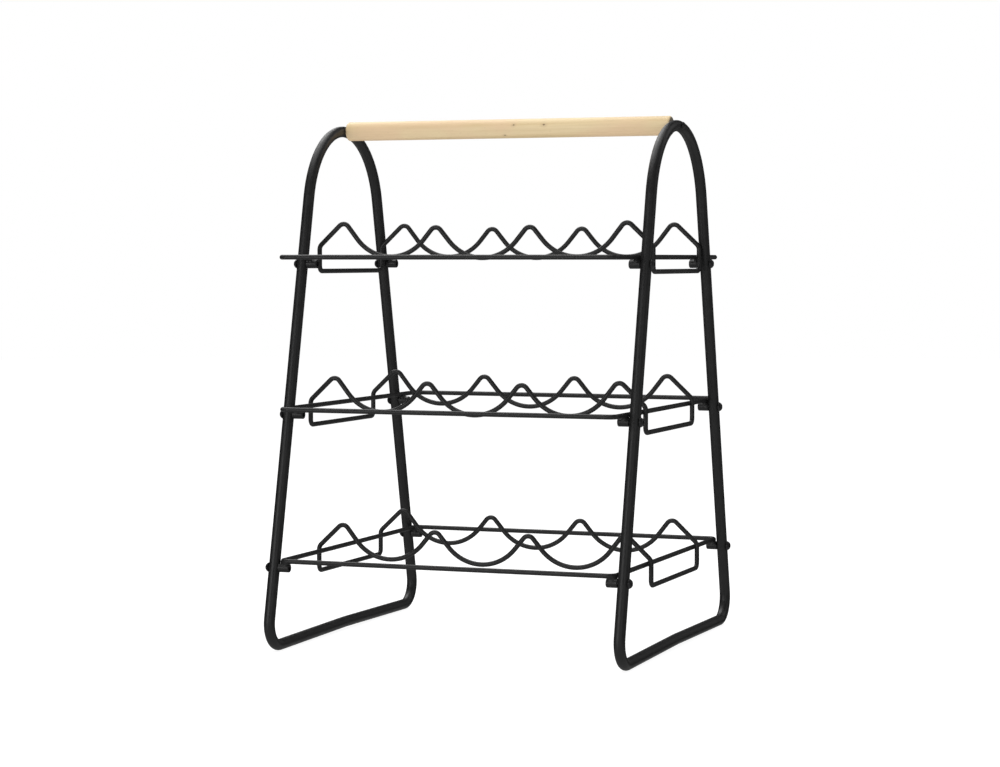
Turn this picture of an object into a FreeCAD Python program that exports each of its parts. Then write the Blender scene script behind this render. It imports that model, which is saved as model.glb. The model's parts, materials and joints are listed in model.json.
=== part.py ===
import FreeCAD, Part
import math
import os

from FreeCAD import Vector

# Wine rack. Two closed side frames of round tube stand on the floor, a wood
# handle joins the tops of their arches, and three welded wire shelves are
# screwed between their legs. Each shelf cradles three bottles.
# Millimetres. +Z is up, X runs along the handle, Y runs front to back, and the
# origin is on the floor under the middle of the rack.

# Side frames: one bent tube each, an arch on top and two splayed legs.
TUBE_DIAMETER = 12.0
TUBE_WALL = 1.2
FRAME_SPACING = 390.5
ARCH_TOP = 561.5
ARCH_RADIUS = 96.0
FOOT_HALF_DEPTH = 204.0
FOOT_BEND_RADIUS = 25.0
FLOOR_RUN_RISE = 2.0
FLOOR_RUN_BEND_RADIUS = 150.0

# Wood handle, and the threaded insert in each end of it.
HANDLE_DIAMETER = 21.0
HANDLE_END_ROUNDING = 2.5
INSERT_DIAMETER = 8.0
INSERT_LENGTH = 15.0

# Shelves: a flat ring of rod, a wave-shaped bottle wire, and four bushes.
TIERS = ("lower", "middle", "upper")
LOWER_SHELF_HEIGHT = 97.7
SHELF_PITCH = 161.5
ROD_DIAMETER = 5.2
RING_HALF_DEPTH = 187.5
RING_CORNER_RADIUS = 8.0
RING_TO_LEG_GAP = 0.3

# Bottle wire. Its heights are measured from the plane of the ring, before the lifts below.
BOTTLE_PITCH = 108.0
WAVE_HALF_SPACING = 86.0
CREST_HEIGHT = 26.3
OUTER_CREST_LIFT = 3.5
CREST_RADIUS = 7.0
CRADLE_HEIGHT = -6.5
CRADLE_RADIUS = 50.0
KNEE_HEIGHT = 6.0
KNEE_RADIUS = 8.0
END_BAR_HEIGHT = -21.0
END_BEND_RADIUS = 6.0

# Where each shelf's wire sits on its ring: towards the rear, and up.
WIRE_OFFSETS = {"lower": 8.0, "middle": -13.0, "upper": 12.0}
WIRE_LIFTS = {"lower": -1.6, "middle": -0.5, "upper": 5.8}

# Threaded bushes under the ring.
BUSH_DIAMETER = 9.5
BUSH_LENGTH = 12.0
BUSH_END_ROUNDING = 1.0

# Button-head screws with a hex socket: the shelves take M6 and the handle M4.
THREAD_CLEARANCE = 0.05
HOLE_CLEARANCE = 0.25
SHELF_SCREW = {"thread": 6.0, "length": 20.0, "head": 10.5, "height": 3.3, "flat": 5.6,
               "key": 4.0, "socket": 2.0}
HANDLE_SCREW = {"thread": 4.0, "length": 22.0, "head": 7.8, "height": 2.2, "flat": 5.8,
                "key": 2.5, "socket": 1.3}

# Worked out from the sizes above.
TUBE_RADIUS = TUBE_DIAMETER / 2
ROD_RADIUS = ROD_DIAMETER / 2
FRAME_X = FRAME_SPACING / 2
INNER_FACE_X = FRAME_X - TUBE_RADIUS
RING_HALF_WIDTH = INNER_FACE_X - RING_TO_LEG_GAP - ROD_RADIUS
WAVE_HALF_WIDTH = RING_HALF_WIDTH + ROD_DIAMETER
BUSH_DROP = ROD_RADIUS + BUSH_DIAMETER / 2
ARCH_CENTRE_HEIGHT = ARCH_TOP - ARCH_RADIUS
LEG_REACH = ARCH_CENTRE_HEIGHT - TUBE_RADIUS
LEG_SPLAY = math.atan2(FOOT_HALF_DEPTH, LEG_REACH) - math.asin(
    ARCH_RADIUS / math.hypot(FOOT_HALF_DEPTH, LEG_REACH))

ENDS = {"front": -1, "rear": 1}
SIDES = {"left": -1, "right": 1}
ALONG_X = Vector(1, 0, 0)


def disc(centre, normal, radius):
    """A flat round face."""
    return Part.Face(Part.Wire(Part.makeCircle(radius, centre, normal)))


def rod(start, direction, radius, length):
    """A plain cylinder."""
    return Part.makeCylinder(radius, length, start, direction)


def rims(cylinder):
    """The circular edges of a cylinder that lies along X."""
    return [edge for edge in cylinder.Edges if isinstance(edge.Curve, Part.Circle)]


def joined(pieces):
    """One solid made of pieces that meet face to face."""
    return pieces[0].fuse(pieces[1:]).removeSplitter()


def bent_rod(corners, radius):
    """A closed loop of round rod through (corner point, bend radius) pairs."""
    starts = []
    ends = []
    bends = []
    for index, (corner, bend_radius) in enumerate(corners):
        back = (corners[index - 1][0] - corner).normalize()
        ahead = (corners[(index + 1) % len(corners)][0] - corner).normalize()
        half_angle = back.getAngle(ahead) / 2
        setback = bend_radius / math.tan(half_angle)
        middle = (back + ahead).normalize()
        centre = corner + middle * (bend_radius / math.sin(half_angle))
        starts.append(corner + back * setback)
        ends.append(corner + ahead * setback)
        turn = 180 - 2 * math.degrees(half_angle)
        section = disc(starts[-1], back, radius)
        bends.append(section.revolve(centre, ahead.cross(back), turn))
    straights = []
    for index, start in enumerate(starts):
        run = start - ends[index - 1]
        straights.append(disc(ends[index - 1], run, radius).extrude(run))
    return joined(bends + straights)


def leg_y(height):
    """Half the distance between the two leg centrelines at a height."""
    return (ARCH_RADIUS / math.cos(LEG_SPLAY)
            - (height - ARCH_CENTRE_HEIGHT) * math.tan(LEG_SPLAY))


def shelf_height(tier):
    """Height of the plane of a shelf's ring."""
    return LOWER_SHELF_HEIGHT + TIERS.index(tier) * SHELF_PITCH


def fixing_point(tier, end):
    """Y and Z of the screw that fixes a shelf to a front or a rear leg."""
    height = shelf_height(tier) - BUSH_DROP
    return ENDS[end] * leg_y(height), height


def drill(side, y, z, sizes):
    """The clear hole through a side frame for one screw."""
    start = Vector(SIDES[side] * FRAME_X - TUBE_DIAMETER, y, z)
    return rod(start, ALONG_X, sizes["thread"] / 2 + HOLE_CLEARANCE, 2 * TUBE_DIAMETER)


def side_frame(side):
    """A hollow closed frame, drilled for its seven screws."""
    x = SIDES[side] * FRAME_X
    foot_setback = FOOT_BEND_RADIUS / math.tan((math.pi / 2 - LEG_SPLAY) / 2)
    run_slope = FLOOR_RUN_RISE / (FOOT_HALF_DEPTH - foot_setback)
    foot_height = TUBE_RADIUS - run_slope * foot_setback
    legs_meet = ARCH_CENTRE_HEIGHT + ARCH_RADIUS / math.sin(LEG_SPLAY)
    corners = [
        (Vector(x, 0, legs_meet), ARCH_RADIUS),
        (Vector(x, -FOOT_HALF_DEPTH, foot_height), FOOT_BEND_RADIUS),
        (Vector(x, 0, TUBE_RADIUS + FLOOR_RUN_RISE), FLOOR_RUN_BEND_RADIUS),
        (Vector(x, FOOT_HALF_DEPTH, foot_height), FOOT_BEND_RADIUS),
    ]
    drills = [drill(side, 0, ARCH_TOP, HANDLE_SCREW)]
    for tier in TIERS:
        for end in ENDS:
            y, z = fixing_point(tier, end)
            drills.append(drill(side, y, z, SHELF_SCREW))
    bore = bent_rod(corners, TUBE_RADIUS - TUBE_WALL)
    return bent_rod(corners, TUBE_RADIUS).cut([bore] + drills)


def handle_dowel():
    """The wood bar, with eased ends and a blind hole for each insert."""
    bar = rod(Vector(-INNER_FACE_X, 0, ARCH_TOP), ALONG_X, HANDLE_DIAMETER / 2, 2 * INNER_FACE_X)
    bar = bar.makeFillet(HANDLE_END_ROUNDING, rims(bar))
    hole_radius = INSERT_DIAMETER / 2 + THREAD_CLEARANCE
    holes = [rod(Vector(way * INNER_FACE_X, 0, ARCH_TOP), ALONG_X * -way, hole_radius, INSERT_LENGTH)
             for way in SIDES.values()]
    return bar.cut(holes)


def handle_insert(side):
    """The threaded sleeve in one end of the handle."""
    way = SIDES[side]
    start = Vector(way * INNER_FACE_X, 0, ARCH_TOP)
    sleeve = rod(start, ALONG_X * -way, INSERT_DIAMETER / 2, INSERT_LENGTH)
    thread_radius = HANDLE_SCREW["thread"] / 2 + THREAD_CLEARANCE
    thread = rod(start, ALONG_X * -way, thread_radius, INSERT_LENGTH)
    return sleeve.cut(thread)


def screw(side, y, z, sizes):
    """A button-head screw driven inward through one side frame."""
    rim = sizes["head"] / 2
    flat = sizes["flat"] / 2
    height = sizes["height"]
    dome_x = (height ** 2 + flat ** 2 - rim ** 2) / (2 * height)
    dome = Part.makeSphere(math.hypot(dome_x, rim), Vector(dome_x, 0, 0))
    head = dome.common(rod(Vector(0, 0, 0), ALONG_X, sizes["head"], height))
    shank = rod(Vector(0, 0, 0), -ALONG_X, sizes["thread"] / 2, sizes["length"])
    corner_radius = sizes["key"] / math.sqrt(3)
    socket_floor = height - sizes["socket"]
    hexagon = [Vector(socket_floor, corner_radius * math.cos(turn), corner_radius * math.sin(turn))
               for turn in (step * math.pi / 3 for step in range(7))]
    socket = Part.Face(Part.makePolygon(hexagon)).extrude(ALONG_X * height)
    shape = head.fuse(shank).cut(socket)
    if side == "left":
        shape.rotate(Vector(0, 0, 0), Vector(0, 0, 1), 180)
    shape.translate(Vector(SIDES[side] * (FRAME_X + TUBE_RADIUS), y, z))
    return shape


def shelf_ring(tier):
    """The flat rounded rectangle of rod that carries a shelf."""
    z = shelf_height(tier)
    turns = ((-1, -1), (1, -1), (1, 1), (-1, 1))
    return bent_rod([(Vector(x * RING_HALF_WIDTH, y * RING_HALF_DEPTH, z), RING_CORNER_RADIUS)
                     for x, y in turns], ROD_RADIUS)


def wave_corners():
    """X, height and bend radius of each corner of one wave, left to right."""
    half_pitch = BOTTLE_PITCH / 2
    radii = CREST_RADIUS + CRADLE_RADIUS
    drop = CREST_HEIGHT - CRADLE_HEIGHT - radii
    slope = math.atan2(drop, half_pitch) + math.asin(radii / math.hypot(half_pitch, drop))
    overshoot = 1 / math.cos(slope) - 1
    crest = CREST_HEIGHT + CREST_RADIUS * overshoot
    cradle = CRADLE_HEIGHT - CRADLE_RADIUS * overshoot
    corners = [(-WAVE_HALF_WIDTH, END_BAR_HEIGHT, END_BEND_RADIUS),
               (-WAVE_HALF_WIDTH, KNEE_HEIGHT, KNEE_RADIUS)]
    for step in range(-3, 4):
        if step % 2 == 0:
            corners.append((step * half_pitch, cradle, CRADLE_RADIUS))
        elif abs(step) == 3:
            corners.append((step * half_pitch, crest + OUTER_CREST_LIFT, CREST_RADIUS))
        else:
            corners.append((step * half_pitch, crest, CREST_RADIUS))
    corners += [(WAVE_HALF_WIDTH, KNEE_HEIGHT, KNEE_RADIUS),
                (WAVE_HALF_WIDTH, END_BAR_HEIGHT, END_BEND_RADIUS)]
    return corners


def bottle_wire(tier):
    """The closed wire: a front wave, a rear wave, and a low bar at each end."""
    z = shelf_height(tier) + WIRE_LIFTS[tier]
    front_y = WIRE_OFFSETS[tier] - WAVE_HALF_SPACING
    rear_y = WIRE_OFFSETS[tier] + WAVE_HALF_SPACING
    front = [(Vector(x, front_y, z + height), radius) for x, height, radius in wave_corners()]
    rear = [(Vector(x, rear_y, z + height), radius) for x, height, radius in reversed(wave_corners())]
    return bent_rod(front + rear, ROD_RADIUS)


def bush(tier, end, side):
    """A threaded sleeve welded under the ring, its outer end against the leg."""
    y, z = fixing_point(tier, end)
    way = SIDES[side]
    start = Vector(way * INNER_FACE_X, y, z)
    sleeve = rod(start, ALONG_X * -way, BUSH_DIAMETER / 2, BUSH_LENGTH)
    inner_rim = min(rims(sleeve), key=lambda edge: abs(edge.CenterOfMass.x))
    sleeve = sleeve.makeFillet(BUSH_END_ROUNDING, [inner_rim])
    thread_radius = SHELF_SCREW["thread"] / 2 + THREAD_CLEARANCE
    thread = rod(start, ALONG_X * -way, thread_radius, BUSH_LENGTH)
    return sleeve.cut(thread)


def rack():
    """Every piece of the rack by name."""
    pieces = {"handle_dowel": handle_dowel()}
    for side in SIDES:
        pieces[f"{side}_side_frame"] = side_frame(side)
        pieces[f"{side}_handle_screw"] = screw(side, 0, ARCH_TOP, HANDLE_SCREW)
        pieces[f"{side}_handle_insert"] = handle_insert(side)
    for tier in TIERS:
        pieces[f"{tier}_shelf_ring"] = shelf_ring(tier)
        pieces[f"{tier}_bottle_wire"] = bottle_wire(tier)
        for end in ENDS:
            for side in SIDES:
                y, z = fixing_point(tier, end)
                corner = f"{tier}_{end}_{side}"
                pieces[f"{corner}_bush"] = bush(tier, end, side)
                pieces[f"{corner}_screw"] = screw(side, y, z, SHELF_SCREW)
    return pieces


os.makedirs("parts", exist_ok=True)
for node, shape in rack().items():
    shape.exportStep(f"parts/{node}.step")
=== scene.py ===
import json
import math

import bmesh
import bpy
import numpy as np
from mathutils import Matrix, Vector, noise

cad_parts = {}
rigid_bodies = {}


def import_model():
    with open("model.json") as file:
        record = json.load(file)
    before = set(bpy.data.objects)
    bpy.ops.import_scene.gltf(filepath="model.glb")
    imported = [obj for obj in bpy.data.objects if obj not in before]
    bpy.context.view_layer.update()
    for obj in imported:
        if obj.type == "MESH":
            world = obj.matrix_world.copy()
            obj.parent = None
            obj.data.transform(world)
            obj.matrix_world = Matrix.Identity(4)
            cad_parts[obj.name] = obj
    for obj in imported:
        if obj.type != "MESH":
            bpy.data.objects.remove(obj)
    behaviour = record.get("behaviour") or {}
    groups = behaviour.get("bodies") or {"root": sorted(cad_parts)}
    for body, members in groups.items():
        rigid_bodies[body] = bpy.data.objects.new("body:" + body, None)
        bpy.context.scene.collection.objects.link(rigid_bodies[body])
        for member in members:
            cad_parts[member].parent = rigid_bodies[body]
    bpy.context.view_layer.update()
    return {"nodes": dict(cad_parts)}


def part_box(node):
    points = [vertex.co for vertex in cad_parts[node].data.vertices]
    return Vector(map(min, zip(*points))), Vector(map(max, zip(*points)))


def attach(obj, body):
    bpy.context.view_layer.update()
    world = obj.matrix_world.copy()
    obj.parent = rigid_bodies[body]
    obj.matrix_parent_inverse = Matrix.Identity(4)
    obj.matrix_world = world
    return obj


# Wine rack: satin black powder coat on bent tube and rod, and a pale beech handle.
# Metres, in the frame of the CAD model. +Z is up and X runs along the handle.

# Camera: where it stands, which way it looks in degrees, and its lens in millimetres.
CAMERA_POSITION = (0.988, -2.653, 0.420)
CAMERA_HEADING = 20.57
CAMERA_TILT = -2.80
LENS = 92.5
SENSOR_WIDTH = 36.0

# The shelves' rod, and how far below and above a ring a weld follows a bottle wire's upright.
ROD_RADIUS = 0.0026
RING_CORNER_RADIUS = 0.008
RING_CORNER_STEPS = 12
UPRIGHT_BELOW = 0.012
UPRIGHT_ABOVE = 0.004

# Weld metal: how far each weld reaches from its middle, and how wide its fillet is.
WIRE_WELD = {"reach": 0.0046, "width": 0.0017}
BUSH_WELD = {"reach": 0.0075, "width": 0.0052}

# Weld surface: sunk a little into the rods, with lumps of that height and frequency,
# on a ball of triangles whose corners are found in steps along straight lines.
WELD_SINK = 0.00012
WELD_LUMP = 0.00022
WELD_LUMP_SCALE = 420.0
WELD_SUBDIVISIONS = 5
MARCH_STEPS = 48

# Beech: its colours from light to dark, its flecks and knots, and where it is cut across, darker
# end grain with painted shade over it.
BEECH_LIGHT = (0.860, 0.685, 0.415)
BEECH_DARK = (0.700, 0.520, 0.275)
BEECH_PINK = (0.840, 0.600, 0.380)
BEECH_FLECK = (0.400, 0.255, 0.130)
BEECH_KNOT = (0.10, 0.058, 0.030)
BEECH_END_GRAIN_AND_SHADE = (0.200, 0.176, 0.130)

# Grain of the beech: how often each layer repeats in a metre along the handle and across it.
STREAK_SCALE = (9.0, 620.0, 620.0)
FINE_SCALE = (28.0, 2300.0, 2300.0)
BAND_SCALE = (2.4, 130.0, 130.0)
PATCH_SCALE = (14.0, 26.0, 26.0)
FLECK_SCALE = (210.0, 1500.0, 1500.0)
FLECK_OFFSET = (3.1, 0.7, 1.9)

# Where in its noise each layer begins to show and is fully there, and how strong it is then.
BANDS = (0.35, 0.65, 0.75)
PATCHES = (0.42, 0.66, 0.70)
STREAKS = (0.50, 0.78, 0.42)
FLECKS = (0.70, 0.78, 0.34)

# Pin knots in the front of the handle: place along it, height above its axis, and size.
PIN_KNOTS = ((0.012, 0.0035, 0.0008), (0.001, -0.0075, 0.0007), (0.047, 0.0032, 0.0010))

# A knot's core and its halo: outer and inner reach in knot sizes, and strength.
# A knot is drawn out along the handle, and its rim is ragged by a share of its size.
KNOT_CORE = (1.45, 0.75, 0.88)
KNOT_HALO = (4.5, 1.2, 0.22)
KNOT_SQUEEZE = (0.7, 1.0, 1.0)
KNOT_RAGGED = 0.5

# Depths between which the beech darkens at a cut end, as end grain and painted shade, and how much
# it does.
END_GRAIN_DEPTH = 0.0011
END_GRAIN_FADE = 0.0001
END_GRAIN_AND_SHADE_SHARE = 0.92

# Powder coat: its colour, a lighter mottle, and pale specks.
COAT_COLOUR = (0.0118, 0.0118, 0.0120)
COAT_MOTTLE = 1.25
COAT_DUST = (0.030, 0.030, 0.029)
COAT_DUST_SHARE = 0.5

# Black oxide: its colours, and a lighter grey at its sharp edges, rubbed steel there with a painted
# highlight over it.
OXIDE_DARK = (0.010, 0.010, 0.011)
OXIDE_LIGHT = (0.017, 0.017, 0.018)
OXIDE_RUBBED_AND_HIGHLIGHT = (0.060, 0.058, 0.055)
OXIDE_RUBBED_AND_HIGHLIGHT_SHARE = 0.45

# Zinc plate, from dull to bright, and its turning marks along X and across it.
ZINC_DULL = (0.60, 0.60, 0.58)
ZINC_BRIGHT = (0.68, 0.68, 0.65)
TURNING_SCALE = (3000.0, 90.0, 90.0)

# Heights of the materials' bumps.
COAT_DIMPLE_HEIGHT = 0.00004
COAT_GRAIN_HEIGHT = 0.00001
OXIDE_GRAIN_HEIGHT = 0.00002
BEECH_FINE_HEIGHT = 0.00005
BEECH_STREAK_HEIGHT = 0.00006
TURNING_HEIGHT = 0.00001

# Studio: where its lights aim, and how bright it is. The floor glows and takes light too.
RACK_MIDDLE = (0.0, 0.0, 0.28)
FLOOR_RADIUS = 8.0
FLOOR_SEGMENTS = 96
FLOOR_GLOW = 0.88
FLOOR_ALBEDO = 0.30
SURROUND_RADIUS = 12.0
SURROUND_SUBDIVISIONS = 4
SURROUND_GLOW = 1.0
AMBIENT = 0.55

# Softboxes: place, size and brightness.
SOFTBOXES = {
    "front_left": ((-0.94, -2.58, 0.55), (1.5, 1.5), 2.2),
    "front_right": ((1.50, -2.13, 0.50), (1.4, 1.4), 0.8),
    "above": ((-0.50, 0.10, 2.50), (2.2, 2.2), 1.8),
    "above_left": ((-1.32, 1.20, 2.10), (1.7, 1.7), 2.4),
    "above_right": ((1.50, 1.70, 1.90), (1.3, 1.3), 0.7),
    "right": ((2.50, 0.40, 0.90), (1.0, 1.4), 0.5),
    "behind": ((0.30, 2.90, 0.35), (2.4, 1.0), 0.18),
    "below": ((0.0, 0.0, -1.00), (7.0, 7.0), 0.3),
}

TIERS = ("lower", "middle", "upper")
ENDS = {"front": -1, "rear": 1}
SIDES = {"left": -1, "right": 1}


# ---------------------------------------------------------------- materials

class Shader:
    """A material's node tree, built up node by node."""

    def __init__(self, name):
        self.material = bpy.data.materials.new(name)
        self.material.use_nodes = True
        self.tree = self.material.node_tree
        self.surface = self.tree.nodes["Principled BSDF"]
        coordinates = self.tree.nodes.new("ShaderNodeTexCoord")
        self.position = coordinates.outputs["Object"]

    def put(self, value, socket):
        """Links an output to a socket, or sets the socket to a value."""
        if isinstance(value, bpy.types.NodeSocket):
            self.tree.links.new(value, socket)
        elif isinstance(value, tuple) and len(value) == 3 and socket.type == "RGBA":
            socket.default_value = (*value, 1.0)
        else:
            socket.default_value = value

    def node(self, kind, inputs=None, **settings):
        """A new node of that kind, with its inputs and settings filled in."""
        made = self.tree.nodes.new("ShaderNode" + kind)
        for key, value in settings.items():
            setattr(made, key, value)
        for key, value in (inputs or {}).items():
            self.put(value, made.inputs[key])
        return made

    def scaled(self, factors, offset=(0.0, 0.0, 0.0)):
        """The position, stretched by a factor along each axis."""
        made = self.node("Mapping", {"Vector": self.position, "Scale": factors, "Location": offset})
        return made.outputs["Vector"]

    def noise(self, vector, scale=1.0, detail=2.0, roughness=0.5, distortion=0.0):
        """Fractal noise between 0 and 1."""
        made = self.node("TexNoise", {"Vector": vector, "Scale": scale, "Detail": detail,
                                      "Roughness": roughness, "Distortion": distortion})
        return made.outputs["Fac"]

    def spread(self, value, low, high, to_low=0.0, to_high=1.0):
        """Maps low..high to to_low..to_high, smoothly and clamped."""
        made = self.node("MapRange", {"Value": value, "From Min": low, "From Max": high,
                                      "To Min": to_low, "To Max": to_high},
                         interpolation_type="SMOOTHSTEP")
        return made.outputs["Result"]

    def math(self, operation, first, second=0.0):
        """The result of a Math node."""
        made = self.node("Math", {0: first, 1: second}, operation=operation)
        return made.outputs[0]

    def mix(self, share, first, second):
        """Colour first, with share of colour second over it."""
        made = self.tree.nodes.new("ShaderNodeMix")
        made.data_type = "RGBA"
        # Sockets 6, 7 and output 2 are the colour ones. A name would find those for numbers.
        for index, value in ((0, share), (6, first), (7, second)):
            self.put(value, made.inputs[index])
        return made.outputs[2]

    def bump(self, heights):
        """Adds up (height, size in metres) pairs as bumps on the surface."""
        normal = None
        for height, distance in heights:
            made = self.node("Bump", {"Height": height, "Distance": distance, "Strength": 1.0})
            if normal is not None:
                self.put(normal, made.inputs["Normal"])
            normal = made.outputs["Normal"]
        self.put(normal, self.surface.inputs["Normal"])

    def finish(self, **sockets):
        """Fills the surface's sockets, with _ for each space, and returns the material."""
        for key, value in sockets.items():
            self.put(value, self.surface.inputs[key.replace("_", " ")])
        return self.material


def powder_coat():
    """Satin black powder coat: fine dimples, a faint mottle and a few specks."""
    s = Shader("powder_coat")
    mottle = s.noise(s.position, scale=90.0, detail=3.0)
    specks = s.spread(s.noise(s.position, scale=1500.0, detail=1.0), low=0.70, high=0.80)
    dimples = s.noise(s.position, scale=900.0, detail=2.0, roughness=0.45)
    grain = s.noise(s.position, scale=2600.0, detail=1.0)
    lighter = tuple(COAT_MOTTLE * channel for channel in COAT_COLOUR)
    colour = s.mix(s.spread(mottle, low=0.3, high=0.7), COAT_COLOUR, lighter)
    colour = s.mix(s.math("MULTIPLY", specks, COAT_DUST_SHARE), colour, COAT_DUST)
    s.bump([(dimples, COAT_DIMPLE_HEIGHT), (grain, COAT_GRAIN_HEIGHT)])
    roughness = s.spread(mottle, low=0.25, high=0.75, to_low=0.38, to_high=0.48)
    return s.finish(Base_Color=colour, Roughness=roughness, Specular_IOR_Level=0.5)


def black_oxide():
    """Screws: black steel, a little smoother than the coat, lighter at its sharp edges as rubbed
    steel and painted highlight.
    """
    s = Shader("black_oxide")
    edges = s.spread(s.node("NewGeometry").outputs["Pointiness"], low=0.52, high=0.62)
    stain = s.noise(s.position, scale=480.0, detail=3.0)
    colour = s.mix(s.spread(stain, low=0.35, high=0.7), OXIDE_DARK, OXIDE_LIGHT)
    # Sharp edges lighter: rubbed steel, with a painted highlight along them.
    colour = s.mix(s.math("MULTIPLY", edges, OXIDE_RUBBED_AND_HIGHLIGHT_SHARE), colour, OXIDE_RUBBED_AND_HIGHLIGHT)
    s.bump([(s.noise(s.position, scale=1800.0, detail=2.0), OXIDE_GRAIN_HEIGHT)])
    roughness = s.spread(stain, low=0.3, high=0.7, to_low=0.30, to_high=0.42)
    return s.finish(Base_Color=colour, Roughness=roughness, Specular_IOR_Level=0.5)


def beech(low, high):
    """Pale beech running along X between low and high, with cut ends darkened as end grain and by
    painted shade.
    """
    s = Shader("beech")
    streaks = s.noise(s.scaled(STREAK_SCALE), detail=4.0, roughness=0.62)
    fine = s.noise(s.scaled(FINE_SCALE), detail=3.0, roughness=0.6)
    bands = s.noise(s.scaled(BAND_SCALE), detail=2.0, distortion=0.35)
    patches = s.noise(s.scaled(PATCH_SCALE), detail=2.0)
    flecks = s.noise(s.scaled(FLECK_SCALE, FLECK_OFFSET), detail=1.0, roughness=0.4)
    colour = BEECH_LIGHT
    for layer, (start, full, strength), over in ((bands, BANDS, BEECH_DARK),
                                                 (patches, PATCHES, BEECH_PINK),
                                                 (streaks, STREAKS, BEECH_DARK),
                                                 (flecks, FLECKS, BEECH_FLECK)):
        colour = s.mix(s.spread(layer, start, full, 0.0, strength), colour, over)
    for place, size in knots(low, high):
        colour = knotted(s, colour, fine, place, size)
    # The cut ends: darker end grain, with painted shade over it.
    along = s.node("SeparateXYZ", {"Vector": s.position}).outputs["X"]
    past = s.spread(s.math("ABSOLUTE", along), high.x - END_GRAIN_DEPTH, high.x - END_GRAIN_FADE)
    colour = s.mix(s.math("MULTIPLY", past, END_GRAIN_AND_SHADE_SHARE), colour, BEECH_END_GRAIN_AND_SHADE)
    s.bump([(fine, BEECH_FINE_HEIGHT), (streaks, BEECH_STREAK_HEIGHT)])
    roughness = s.spread(streaks, low=0.3, high=0.7, to_low=0.46, to_high=0.60)
    return s.finish(Base_Color=colour, Roughness=roughness, Specular_IOR_Level=0.35)


def knotted(s, colour, fine, place, size):
    """The colour with one pin knot over it, its rim made ragged by the fine grain."""
    offset = s.node("VectorMath", {0: s.position, 1: place}, operation="SUBTRACT")
    squeezed = s.node("VectorMath", {0: offset.outputs[0], 1: KNOT_SQUEEZE}, operation="MULTIPLY")
    reach = s.node("VectorMath", {0: squeezed.outputs[0]}, operation="LENGTH").outputs["Value"]
    ragged = s.math("ADD", reach, s.math("MULTIPLY", fine, size * KNOT_RAGGED))
    for (outer, inner, strength), over in ((KNOT_CORE, BEECH_KNOT), (KNOT_HALO, BEECH_FLECK)):
        shown = s.spread(ragged, size * outer, size * inner, 0.0, strength)
        colour = s.mix(shown, colour, over)
    return colour


def knots(low, high):
    """Centre and size of each pin knot on the front of a bar between low and high."""
    radius = (high.z - low.z) / 2
    axis_height = (high.z + low.z) / 2
    for x, up, size in PIN_KNOTS:
        yield (x, -math.sqrt(radius ** 2 - up ** 2), axis_height + up), size


def zinc():
    """The threaded inserts: zinc plate with faint turning marks."""
    s = Shader("zinc_plate")
    marks = s.noise(s.scaled(TURNING_SCALE), detail=2.0)
    s.bump([(marks, TURNING_HEIGHT)])
    roughness = s.spread(marks, low=0.3, high=0.7, to_low=0.28, to_high=0.40)
    return s.finish(Base_Color=s.mix(marks, ZINC_DULL, ZINC_BRIGHT), Roughness=roughness,
                    Metallic=1.0)


def wear(thing, material):
    """Gives every face of an object one material."""
    thing.data.materials.clear()
    thing.data.materials.append(material)


# ---------------------------------------------------------------- weld metal

def distance_to_path(points, path):
    """Distance of each point from a path of straight runs."""
    nearest = np.full(len(points), np.inf)
    for start, end in zip(path[:-1], path[1:]):
        run = end - start
        share = np.clip((points - start) @ run / (run @ run), 0.0, 1.0)
        gap = np.linalg.norm(points - start - share[:, None] * run, axis=1)
        nearest = np.minimum(nearest, gap)
    return nearest


def blended(first, second, width):
    """Union of two distance fields, with a fillet of that width between them."""
    overlap = np.clip(width - np.abs(first - second), 0.0, None) / width
    return np.minimum(first, second) - overlap ** 2 * width / 4


def lumps(points):
    """A smooth uneven height between -1 and 1 at each point."""
    return np.array([noise.noise(Vector(point) * WELD_LUMP_SCALE) for point in points])


def weld(name, centre, rods, reach, width):
    """Weld metal round centre, filling the corners between two (path, radius) rods."""
    ball = bmesh.new()
    bmesh.ops.create_icosphere(ball, subdivisions=WELD_SUBDIVISIONS, radius=1.0)
    ways = np.array([vertex.co for vertex in ball.verts])
    uneven = lumps(centre + ways * reach / 2) * WELD_LUMP
    inside = np.zeros(len(ways))
    outside = np.full(len(ways), reach)
    reached = np.zeros(len(ways), bool)
    for step in range(1, MARCH_STEPS + 1):
        out = reach * step / MARCH_STEPS
        field = weld_field(centre + ways * out, rods, width) + WELD_SINK - uneven
        crossed = (field > 0) & ~reached
        outside[crossed] = out
        inside[~reached & ~crossed] = out
        reached |= crossed
    radii = (inside + outside) / 2
    for vertex, way, radius in zip(ball.verts, ways, radii):
        vertex.co = Vector(centre + way * radius)
    mesh = bpy.data.meshes.new(name)
    ball.to_mesh(mesh)
    ball.free()
    mesh.polygons.foreach_set("use_smooth", np.ones(len(mesh.polygons), bool))
    thing = bpy.data.objects.new(name, mesh)
    bpy.context.scene.collection.objects.link(thing)
    return thing


def weld_field(points, rods, width):
    """Distance of each point from two rods with a fillet between them."""
    fields = [distance_to_path(points, path) - radius for path, radius in rods]
    return blended(fields[0], fields[1], width)


def ring_path(tier, side, end):
    """The ring's centreline round one corner, from its side rod to its end rod."""
    low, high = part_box(f"{tier}_shelf_ring")
    half_width = high.x - ROD_RADIUS
    half_depth = high.y - ROD_RADIUS
    z = (low.z + high.z) / 2
    corner_x = half_width - RING_CORNER_RADIUS
    corner_y = half_depth - RING_CORNER_RADIUS
    points = [(half_width, 0.0)]
    for step in range(RING_CORNER_STEPS + 1):
        turn = math.radians(90 * step / RING_CORNER_STEPS)
        points.append((corner_x + RING_CORNER_RADIUS * math.cos(turn),
                       corner_y + RING_CORNER_RADIUS * math.sin(turn)))
    points.append((0.0, half_depth))
    return np.array([(SIDES[side] * x, ENDS[end] * y, z) for x, y in points])


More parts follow.
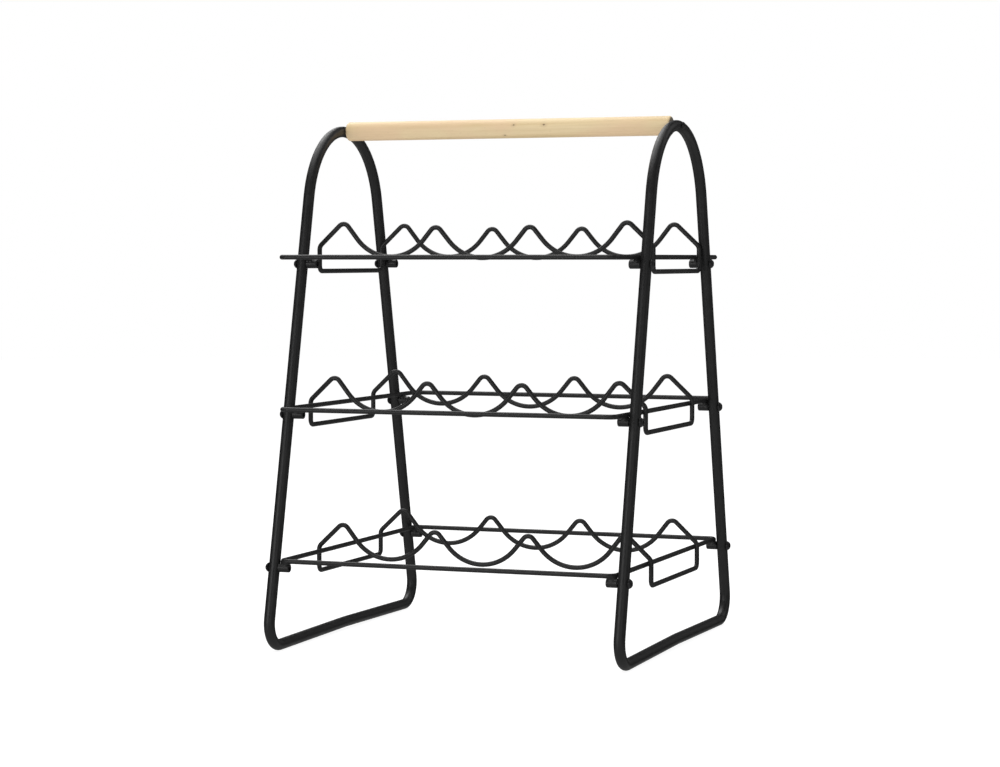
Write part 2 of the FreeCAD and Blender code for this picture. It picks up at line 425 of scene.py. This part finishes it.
def wire_weld(tier, end, side):
    """Weld where an upright of the bottle wire passes the ring's side rod."""
    ring = ring_path(tier, side, end)
    low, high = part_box(f"{tier}_bottle_wire")
    y = low.y + ROD_RADIUS if end == "front" else high.y - ROD_RADIUS
    z = ring[0][2]
    wire_x = SIDES[side] * (high.x - ROD_RADIUS)
    wire = np.array([(wire_x, y, z - UPRIGHT_BELOW), (wire_x, y, z + UPRIGHT_ABOVE)])
    centre = np.array(((ring[0][0] + wire_x) / 2, y, z))
    return weld(f"{tier}_{end}_{side}_wire_weld", centre,
                [(ring, ROD_RADIUS), (wire, ROD_RADIUS)], **WIRE_WELD)


def bush_weld(tier, end, side):
    """Weld between the ring and the bush under it."""
    ring = ring_path(tier, side, end)
    low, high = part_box(f"{tier}_{end}_{side}_bush")
    radius = (high.z - low.z) / 2
    y = (low.y + high.y) / 2
    z = (low.z + high.z) / 2
    start = np.array((low.x + radius, y, z))
    finish = np.array((high.x - radius, y, z))
    near = ring[np.abs(ring[:, 1] - y).argmin()]
    if abs(y) < abs(ring[1][1]):
        near = ring[0]
    centre = np.array((near[0], y, ring[0][2] - ROD_RADIUS))
    return weld(f"{tier}_{end}_{side}_bush_weld", centre,
                [(ring, ROD_RADIUS), (np.array((start, finish)), radius)], **BUSH_WELD)


# ---------------------------------------------------------------- stage

def aimed(thing, target):
    """Turns a light to face a point."""
    thing.rotation_mode = "QUATERNION"
    thing.rotation_quaternion = (Vector(target) - thing.location).to_track_quat("-Z", "Y")


def softbox(name, location, size, brightness):
    """A rectangular light facing the rack, as bright as a white surface of that brightness."""
    light = bpy.data.lights.new(name, "AREA")
    light.shape = "RECTANGLE"
    light.size, light.size_y = size
    light.energy = brightness * math.pi * size[0] * size[1]
    thing = bpy.data.objects.new(name, light)
    thing.location = location
    thing.visible_camera = False
    bpy.context.scene.collection.objects.link(thing)
    aimed(thing, RACK_MIDDLE)


def glowing(name, strength, albedo=0.0):
    """A white surface that glows, and that also takes light if albedo is set."""
    s = Shader(name)
    return s.finish(Base_Color=(albedo, albedo, albedo), Roughness=1.0, Specular_IOR_Level=0.0,
                    Emission_Color=(1.0, 1.0, 1.0), Emission_Strength=strength)


def disc(shape):
    """The floor's shape."""
    bmesh.ops.create_circle(shape, cap_ends=True, segments=FLOOR_SEGMENTS, radius=FLOOR_RADIUS)


def globe(shape):
    """The surround's shape."""
    bmesh.ops.create_icosphere(shape, subdivisions=SURROUND_SUBDIVISIONS, radius=SURROUND_RADIUS)


def staged(name, build, material):
    """A piece of the studio, seen by the camera but not in reflections."""
    shape = bmesh.new()
    build(shape)
    mesh = bpy.data.meshes.new(name)
    shape.to_mesh(mesh)
    shape.free()
    thing = bpy.data.objects.new(name, mesh)
    bpy.context.scene.collection.objects.link(thing)
    wear(thing, material)
    thing.visible_diffuse = False
    thing.visible_glossy = False
    thing.visible_shadow = False


def studio():
    """White floor and surround, soft front lights, and weaker ones behind."""
    staged("floor", disc, glowing("floor_white", FLOOR_GLOW, FLOOR_ALBEDO))
    staged("surround", globe, glowing("surround_white", SURROUND_GLOW))
    for name, settings in SOFTBOXES.items():
        softbox(name, *settings)
    world = bpy.data.worlds.new("studio")
    world.use_nodes = True
    background = world.node_tree.nodes["Background"]
    background.inputs["Color"].default_value = (1.0, 1.0, 1.0, 1.0)
    background.inputs["Strength"].default_value = AMBIENT
    world.cycles_visibility.glossy = False
    bpy.context.scene.world = world
    bpy.context.scene.view_settings.view_transform = "Standard"


def camera():
    """The camera, turned by its heading and tilt."""
    heading = math.radians(CAMERA_HEADING)
    tilt = math.radians(CAMERA_TILT)
    ahead = Vector((-math.sin(heading) * math.cos(tilt),
                    math.cos(heading) * math.cos(tilt), math.sin(tilt)))
    right = ahead.cross(Vector((0, 0, 1))).normalized()
    up = right.cross(ahead)
    turn = Matrix((right, up, -ahead)).transposed().to_4x4()
    data = bpy.data.cameras.new("camera")
    data.lens = LENS
    data.sensor_width = SENSOR_WIDTH
    thing = bpy.data.objects.new("camera", data)
    thing.matrix_world = Matrix.Translation(CAMERA_POSITION) @ turn
    bpy.context.scene.collection.objects.link(thing)
    bpy.context.scene.camera = thing


# ---------------------------------------------------------------- the rack

def main():
    """Loads the rack, dresses it, adds its welds, and sets the stage."""
    for thing in list(bpy.data.objects):
        bpy.data.objects.remove(thing)
    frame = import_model()
    nodes = frame["nodes"]
    coat = powder_coat()
    oxide = black_oxide()
    wood = beech(*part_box("handle_dowel"))
    plate = zinc()
    for name, thing in nodes.items():
        if name == "handle_dowel":
            wear(thing, wood)
        elif name.endswith("_insert"):
            wear(thing, plate)
        elif name.endswith("_screw"):
            wear(thing, oxide)
        else:
            wear(thing, coat)
    for tier in TIERS:
        for end in ENDS:
            for side in SIDES:
                for piece in (wire_weld(tier, end, side), bush_weld(tier, end, side)):
                    wear(piece, coat)
                    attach(piece, "root")
    camera()
    studio()


main()
